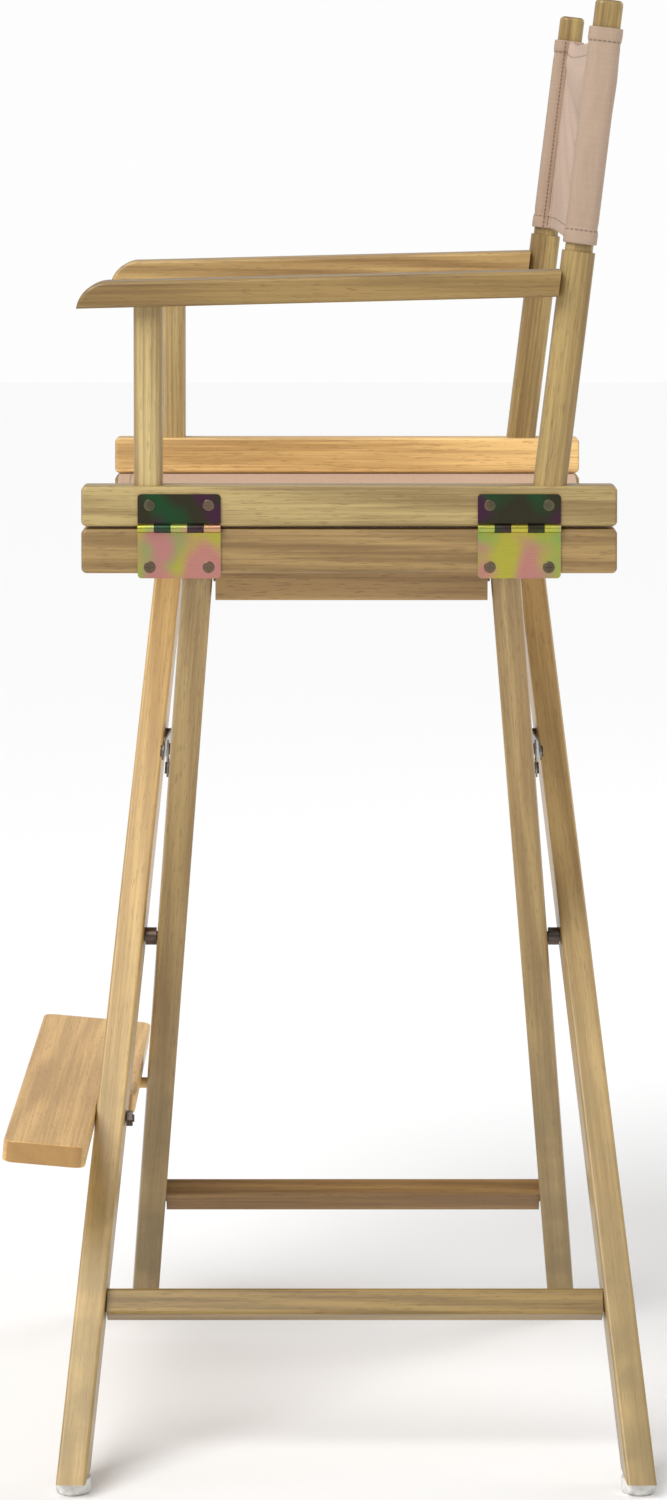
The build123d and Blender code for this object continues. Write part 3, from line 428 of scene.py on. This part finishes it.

# %% [markdown]
# The glides under the feet are moulded plastic: off-white, slightly mottled, and darker in blotches over the
# few millimetres next to the floor.

# %% Plastic glides
glide_plastic, glide_shader = plain_material("glide_plastic", (0.78, 0.78, 0.76), 0.5)
tree = glide_plastic.node_tree
place = object_place(glide_plastic)
mottle = cloudy(tree, place, 160.0, 4.0)
apart = tree.nodes.new("ShaderNodeSeparateXYZ")
connect(tree, place, apart.inputs["Vector"])
# Darker in blotches over the lowest 9 mm of each glide, next to the floor.
near_floor = spread(tree, apart.outputs["Z"], 0.0, 0.009, 1.0, 0.15)
darker_near_floor = maths(tree, "MULTIPLY", near_floor, spread(tree, mottle, 0.3, 0.7))
glide_color = mixed(tree, darker_near_floor, (0.80, 0.80, 0.78, 1), (0.42, 0.40, 0.37, 1))
connect(tree, glide_color, glide_shader.inputs["Base Color"])
connect(tree, spread(tree, mottle, 0.3, 0.7, 0.42, 0.62), glide_shader.inputs["Roughness"])
add_bump(glide_plastic, glide_shader, mottle, 0.2, 0.0003)
for name in ("inner_glides", "outer_glides"):
    dress(name, glide_plastic)
print("glides dressed")

# %% [markdown]
# The canvas is a plain weave of thick tan yarn. Every cloth piece carries a UV map in metres, u across the
# cloth and v along it, so the threads keep their real size however the cloth bends. Two crossing waves make
# the weave, stretched noise makes the slubs in the yarn, and rows of stitches are drawn by their distance
# from the hemmed edges.

# %% Canvas weave group
weave, weave_in, weave_out = new_group(
    "Canvas Weave", {"Vector": "vector", "Light": "color", "Dark": "color"},
    {"Color": "color", "Roughness": "float", "Height": "float"})
THREAD = 0.0013
flat_place = weave_in.outputs["Vector"]
cloth_place = weave.nodes.new("ShaderNodeSeparateXYZ")
connect(weave, flat_place, cloth_place.inputs["Vector"])
warp = maths(weave, "SINE", maths(weave, "MULTIPLY", cloth_place.outputs["X"], 2 * math.pi / THREAD))
weft = maths(weave, "SINE", maths(weave, "MULTIPLY", cloth_place.outputs["Y"], 2 * math.pi / THREAD))
crossing = maths(weave, "MULTIPLY", warp, weft)
across_slubs = cloudy(weave, vector_maths(weave, "MULTIPLY", flat_place, (40.0, 700.0, 1.0)), 1.0, 2.0)
along_slubs = cloudy(weave, vector_maths(weave, "MULTIPLY", flat_place, (700.0, 40.0, 1.0)), 1.0, 2.0)
slubs = maths(weave, "ADD", across_slubs, along_slubs)
fading = cloudy(weave, flat_place, 9.0, 3.0)
depth = maths(weave, "MULTIPLY_ADD", crossing, 0.20, maths(weave, "MULTIPLY", slubs, 0.30))
depth = maths(weave, "ADD", depth, maths(weave, "MULTIPLY", fading, 0.40))
raised = spread(weave, depth, 0.20, 0.80)
yarn_color = mixed(weave, raised, weave_in.outputs["Dark"], weave_in.outputs["Light"])
connect(weave, yarn_color, weave_out.inputs["Color"])
connect(weave, spread(weave, slubs, 0.6, 1.4, 0.94, 0.80), weave_out.inputs["Roughness"])
connect(weave, maths(weave, "MULTIPLY_ADD", crossing, 0.5, slubs), weave_out.inputs["Height"])

# %% [markdown]
# A stitch row is a dashed line: it needs how far a point is from the row, and how far along it the point is.

# %% Stitch row group
STITCH_PITCH = 0.0036
stitch, stitch_in, stitch_out = new_group(
    "Stitch Row", {"Across": "float", "Along": "float"}, {"Mask": "float"})
near_row = spread(stitch, maths(stitch, "ABSOLUTE", stitch_in.outputs["Across"]), 0.0003, 0.0009, 1.0, 0.0)
dash = maths(stitch, "FRACT", maths(stitch, "MULTIPLY", stitch_in.outputs["Along"], 1 / STITCH_PITCH))
dash = spread(stitch, maths(stitch, "ABSOLUTE", maths(stitch, "SUBTRACT", dash, 0.5)), 0.30, 0.42, 1.0, 0.0)
connect(stitch, maths(stitch, "MULTIPLY", near_row, dash), stitch_out.inputs["Mask"])
print("thread pitch", THREAD)


def canvas_material(name, light, dark, rows):
    """Woven canvas. rows lists (axis, place) for each stitch row: axis 0 counts along u, 1 along v."""
    material, shader = plain_material(name, light, 0.9)
    tree = material.node_tree
    uv = tree.nodes.new("ShaderNodeUVMap")
    uv.uv_map = "cloth"
    node = group_node(material, weave)
    connect(tree, uv.outputs["UV"], node.inputs["Vector"])
    node.inputs["Light"].default_value = (*light, 1)
    node.inputs["Dark"].default_value = (*dark, 1)
    apart = tree.nodes.new("ShaderNodeSeparateXYZ")
    connect(tree, uv.outputs["UV"], apart.inputs["Vector"])
    stitches = 0.0
    for axis, place in rows:
        row = group_node(material, stitch)
        connect(tree, maths(tree, "SUBTRACT", apart.outputs[axis], place), row.inputs["Across"])
        connect(tree, apart.outputs[1 - axis], row.inputs["Along"])
        stitches = maths(tree, "MAXIMUM", stitches, row.outputs["Mask"])
    thread_color = tuple(0.6 * channel for channel in dark)
    sewn = mixed(tree, stitches, node.outputs["Color"], (*thread_color, 1))
    connect(tree, sewn, shader.inputs["Base Color"])
    connect(tree, node.outputs["Roughness"], shader.inputs["Roughness"])
    shader.inputs["Sheen Weight"].default_value = 0.10
    shader.inputs["Sheen Roughness"].default_value = 0.5
    height = maths(tree, "MULTIPLY_ADD", stitches, 2.0, node.outputs["Height"])
    add_bump(material, shader, height, 0.5, 0.0004)
    return material


# %% [markdown]
# Cloth starts as a flat grid with its UV map in metres. The same helper serves the seat, the back panel and
# the sleeves: only the shape that the flat grid is laid into differs.

# %% Helper for a sheet of cloth
def cloth_grid(width, length, across, along):
    """A flat grid centred on the origin, u from 0 to width and v from 0 to length in its UV map."""
    cloth = bmesh.new()
    bmesh.ops.create_grid(cloth, x_segments=across, y_segments=along, size=0.5)
    bmesh.ops.scale(cloth, vec=(width, length, 1), verts=cloth.verts)
    layer = cloth.loops.layers.uv.new("cloth")
    for face in cloth.faces:
        for loop in face.loops:
            loop[layer].uv = (loop.vert.co.x + width / 2, loop.vert.co.y + length / 2)
    return cloth


def cloth_object(name, cloth, material):
    data = bpy.data.meshes.new(name)
    cloth.to_mesh(data)
    cloth.free()
    piece = bpy.data.objects.new(name, data)
    bpy.context.scene.collection.objects.link(piece)
    data.materials.append(material)
    for polygon in data.polygons:
        polygon.use_smooth = True
    return piece


def settle(piece, held, frames, cap):
    """Lets the cloth hang from its held points for some frames; no point may move further than cap."""
    before = [vertex.co.copy() for vertex in piece.data.vertices]
    group = piece.vertex_groups.new(name="held")
    group.add([v.index for v in piece.data.vertices if held(v.co)], 1.0, "REPLACE")
    cloth = piece.modifiers.new("hang", "CLOTH")
    settings = cloth.settings
    settings.quality, settings.mass, settings.vertex_group_mass = 6, 0.35, "held"
    settings.tension_stiffness = settings.compression_stiffness = 60
    settings.shear_stiffness, settings.bending_stiffness = 20, 6
    cloth.point_cache.frame_start, cloth.point_cache.frame_end = 1, frames
    for step in range(1, frames + 1):
        bpy.context.scene.frame_set(step)
    settled = piece.evaluated_get(bpy.context.evaluated_depsgraph_get()).to_mesh()
    after = [vertex.co.copy() for vertex in settled.vertices]
    piece.modifiers.remove(cloth)
    bpy.context.scene.frame_set(1)
    deepest = 0.0
    for vertex, old, new in zip(piece.data.vertices, before, after):
        move = new - old
        if move.length > cap:
            move *= cap / move.length
        vertex.co = old + move
        deepest = max(deepest, move.length)
    print(piece.name, "moved at most", round(deepest, 4), "m")


def finish_cloth(piece, thickness):
    """Gives the sheet its thickness, softens it and makes both final."""
    wall = piece.modifiers.new("thickness", "SOLIDIFY")
    wall.thickness, wall.offset = thickness, 0.0
    soft = piece.modifiers.new("soft", "SUBSURF")
    soft.levels = soft.render_levels = 1
    with bpy.context.temp_override(object=piece, active_object=piece, selected_objects=[piece]):
        bpy.ops.object.modifier_apply(modifier=wall.name)
        bpy.ops.object.modifier_apply(modifier=soft.name)
    for polygon in piece.data.polygons:
        polygon.use_smooth = True


def fold_hem(piece, in_hem, move):
    """Doubles the cloth where it is folded over: a copy of those faces lies just under it."""
    cloth = bmesh.new()
    cloth.from_mesh(piece.data)
    faces = [face for face in cloth.faces if in_hem(face.calc_center_median())]
    copy = bmesh.ops.duplicate(cloth, geom=faces)["geom"]
    points = [element for element in copy if isinstance(element, bmesh.types.BMVert)]
    bmesh.ops.translate(cloth, vec=move, verts=points)
    cloth.to_mesh(piece.data)
    cloth.free()


print("cloth helpers ready")

# %% [markdown]
# The seat is one width of canvas. Each side is sewn into a narrow hem round a stick that sits in a channel
# between the two rails, so the cloth comes out of the slit between them and hangs from there. The grid's
# two sides are rolled round the sticks, the rest hangs under its own weight in a cloth simulation.

# %% Seat canvas
CANVAS_LIGHT, CANVAS_DARK = (0.62, 0.445, 0.325), (0.50, 0.345, 0.245)
CANVAS_THICKNESS, FOLD_STEP = 0.0011, 0.0012
STICK_RADIUS = 0.004
SEAT_STITCH_INSET = 0.011
SEAT_HELD_BEYOND, SEAT_FRAMES, SEAT_CAP = 0.2335, 22, 0.009
HEM_ROLL = 0.96
seat_low, seat_high = (Vector(corner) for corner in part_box("seat_canvas"))
STICK_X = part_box("left_seat_dowel")[0][0] + STICK_RADIUS
STICK_Z = (seat_low.z + seat_high.z) / 2
HEM_RADIUS = 0.0049
SEAT_LENGTH = seat_high.y - seat_low.y
flat_half = STICK_X - HEM_RADIUS
SEAT_WIDTH = 2 * (flat_half + 2 * math.pi * HEM_RADIUS)
seat_cloth = cloth_grid(SEAT_WIDTH, SEAT_LENGTH, 116, 84)
for vertex in seat_cloth.verts:
    side, reach = (1 if vertex.co.x > 0 else -1), abs(vertex.co.x)
    y = vertex.co.y + (seat_low.y + seat_high.y) / 2
    if reach <= flat_half:
        vertex.co = (vertex.co.x, y, STICK_Z)
    else:
        turn = math.pi - HEM_ROLL * (reach - flat_half) / HEM_RADIUS
        vertex.co = (side * (STICK_X + HEM_RADIUS * math.cos(turn)), y, STICK_Z + HEM_RADIUS * math.sin(turn))
seat_blank = cloth_object("seat_blank", seat_cloth, canvas_material(
    "seat_canvas_cloth", CANVAS_LIGHT, CANVAS_DARK,
    ((1, SEAT_STITCH_INSET), (1, SEAT_LENGTH - SEAT_STITCH_INSET))))
settle(seat_blank, lambda co: abs(co.x) > SEAT_HELD_BEYOND, SEAT_FRAMES, SEAT_CAP)
print("seat blank", round(SEAT_WIDTH, 4), "by", round(SEAT_LENGTH, 4))

# %% [markdown]
# When the chair folds, the cloth between the rails crumples, but the two hems stay round their sticks. So the
# hung cloth is cut at the rails' inner faces: each hem stays with its rail, and the middle is carried by the
# left rail.

# %% Seat pieces
RAIL_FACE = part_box("left_lower_rail")[0][0]
HEM_FOLD = 0.013


def slice_of(piece, name, cuts):
    """A copy of the cloth, cut across the chair; cuts lists the place and the side that is cleared."""
    cloth = bmesh.new()
    cloth.from_mesh(piece.data)
    for x, cleared in cuts:
        geometry = cloth.verts[:] + cloth.edges[:] + cloth.faces[:]
        bmesh.ops.bisect_plane(
            cloth, geom=geometry, plane_co=(x, 0, 0), plane_no=(cleared, 0, 0), clear_outer=True)
    return cloth_object(name, cloth, piece.data.materials[0])


seat = slice_of(seat_blank, "canvas_seat", ((RAIL_FACE, 1), (-RAIL_FACE, -1)))
fold_hem(seat, lambda co: min(co.y - seat_low.y, seat_high.y - co.y) < HEM_FOLD,
         (0, 0, -FOLD_STEP))
finish_cloth(seat, CANVAS_THICKNESS)
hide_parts("seat_canvas")
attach(seat, "left_rail")
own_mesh(seat)
for side, name in ((1, "left"), (-1, "right")):
    hem = slice_of(seat_blank, f"{name}_seat_hem", ((side * RAIL_FACE, -side),))
    finish_cloth(hem, CANVAS_THICKNESS)
    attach(hem, f"{name}_rail")
bpy.data.objects.remove(seat_blank)
print("seat faces:", len(seat.data.polygons))

# %% [markdown]
# The back is one sling: a panel with a sleeve at each side, slipped over the leaning rear posts down to
# their shoulders. A sleeve is a tube of cloth that takes the post's rounded square section. Its grid is
# wrapped round the post, drawn up at the sewn edge, with a thicker hem at the top and bottom and the small
# dents that handling leaves.

# %% Sleeves of the back sling
SLING_UP = Vector((0, 0.120124, 0.992759))
SLING_BACK = Vector((0, 0.992759, -0.120124))
BACK_LIGHT, BACK_DARK = (0.64, 0.465, 0.355), (0.50, 0.355, 0.265)
SLEEVE_LIGHT, SLEEVE_DARK = (0.52, 0.375, 0.275), (0.40, 0.285, 0.205)
SLEEVE_THICKNESS, SLEEVE_SKIN = 0.0012, 0.0006
SLING_HEM, SLING_STITCH_INSET = 0.0115, 0.0105
SLEEVE_SEAM_INSET = 0.004
sleeve_low, sleeve_high = (Vector(corner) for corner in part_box("left_sling_sleeve"))
SLEEVE_HALF, SLEEVE_ROUND = (sleeve_high.x - sleeve_low.x) / 2 - SLEEVE_SKIN, 0.0072
SLING_LENGTH = (sleeve_high.z - sleeve_low.z - 2 * (SLEEVE_HALF + SLEEVE_SKIN) * SLING_UP.y) / SLING_UP.z
sling_middle = (sleeve_low + sleeve_high) / 2
SLEEVE_ROUTE = 8 * (SLEEVE_HALF - SLEEVE_ROUND) + 2 * math.pi * SLEEVE_ROUND


def sleeve_outline(distance):
    """Point and outward direction on the rounded square, from the middle of its inner side."""
    straight, arc = SLEEVE_HALF - SLEEVE_ROUND, math.pi * SLEEVE_ROUND / 2
    distance = (distance + straight) % SLEEVE_ROUTE
    side, along = divmod(distance, 2 * straight + arc)
    if along <= 2 * straight:
        point, outward = Vector((-SLEEVE_HALF, along - straight, 0)), Vector((-1, 0, 0))
    else:
        turn = math.pi - (along - 2 * straight) / SLEEVE_ROUND
        outward = Vector((math.cos(turn), math.sin(turn), 0))
        point = Vector((-straight, straight, 0)) + SLEEVE_ROUND * outward
    quarter_turns = Matrix.Rotation(-side * math.pi / 2, 3, "Z")
    return quarter_turns @ point, quarter_turns @ outward


sleeve_canvas = canvas_material("sleeve_cloth", SLEEVE_LIGHT, SLEEVE_DARK, (
    (1, SLING_STITCH_INSET), (1, SLING_LENGTH - SLING_STITCH_INSET),
    (0, SLEEVE_SEAM_INSET), (0, SLEEVE_ROUTE - SLEEVE_SEAM_INSET)))


def make_sleeve(side, start):
    """The sleeve on one post: side is 1 for the left one, start picks its dents."""
    sleeve = cloth_grid(SLEEVE_ROUTE, SLING_LENGTH, 56, 72)
    for vertex in sleeve.verts:
        u, v = vertex.co.x + SLEEVE_ROUTE / 2, vertex.co.y
        point, outward = sleeve_outline(u)
        to_end = SLING_LENGTH / 2 - abs(v)
        hem = 0.0006 if to_end < SLING_HEM else 0.0
        pull = 0.0006 * math.exp(-((to_end - 0.0125) / 0.0015) ** 2)
        dent = 0.0011 * max(0.0, noise.noise(Vector((u * 60 + start, v * 26, start))))
        point = point + outward * (hem + dent - pull)
        across = Vector((side * (sling_middle.x + point.x), sling_middle.y, sling_middle.z))
        vertex.co = across + SLING_UP * v + SLING_BACK * point.y
    bmesh.ops.remove_doubles(sleeve, verts=sleeve.verts, dist=0.0001)
    bmesh.ops.recalc_face_normals(sleeve, faces=sleeve.faces)
    name = "left" if side > 0 else "right"
    piece = cloth_object(f"{name}_back_sleeve", sleeve, sleeve_canvas)
    finish_cloth(piece, SLEEVE_THICKNESS)
    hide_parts(f"{name}_sling_sleeve")
    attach(piece, f"{name}_sling")


for start, side in enumerate((1, -1), 3):
    make_sleeve(side, start)
print("sleeve", round(SLEEVE_ROUTE, 4), "round,", round(SLING_LENGTH, 4), "long")

# %% [markdown]
# The back panel hangs between the sleeves. It is laid out flat in the plane of the posts, a little slack
# is drawn into it, and the simulation lets it hang. The hems at the top and bottom are folded to the rear.

# %% Back panel
PANEL_REACH_IN = 0.0004
PANEL_SEAM_INSET = 0.005
PANEL_HELD_EDGE, PANEL_FRAMES, PANEL_CAP = 0.004, 16, 0.006
PANEL_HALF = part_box("sling_panel")[1][0] + PANEL_REACH_IN
panel_cloth = cloth_grid(2 * PANEL_HALF, SLING_LENGTH, 110, 40)
for vertex in panel_cloth.verts:
    x, v = vertex.co.x, vertex.co.y
    slack = (1 - (x / PANEL_HALF) ** 2) * (0.0035 - 0.0025 * (v / SLING_LENGTH + 0.5))
    ripple = 0.0009 * noise.noise(Vector((x * 9, v * 14, 5.0))) * (1 - (x / PANEL_HALF) ** 4)
    vertex.co = Vector((x, sling_middle.y, sling_middle.z)) + SLING_UP * v + SLING_BACK * (slack + ripple)
panel = cloth_object("back_panel", panel_cloth, canvas_material("back_panel_cloth", BACK_LIGHT, BACK_DARK, (
    (1, SLING_STITCH_INSET), (1, SLING_LENGTH - SLING_STITCH_INSET),
    (0, PANEL_SEAM_INSET), (0, 2 * PANEL_HALF - PANEL_SEAM_INSET))))
settle(panel, lambda co: abs(co.x) > PANEL_HALF - PANEL_HELD_EDGE, PANEL_FRAMES, PANEL_CAP)
middle_point = Vector((0, sling_middle.y, sling_middle.z))


def in_sling_hem(point):
    """Whether a point of the panel lies in its top or bottom hem."""
    height = (Vector((0, point.y, point.z)) - middle_point).dot(SLING_UP)
    return SLING_LENGTH / 2 - abs(height) < SLING_HEM


fold_hem(panel, in_sling_hem, SLING_BACK * FOLD_STEP)
finish_cloth(panel, CANVAS_THICKNESS)
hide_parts("sling_panel")
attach(panel, "left_sling")
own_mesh(panel)
print("panel faces:", len(panel.data.polygons))
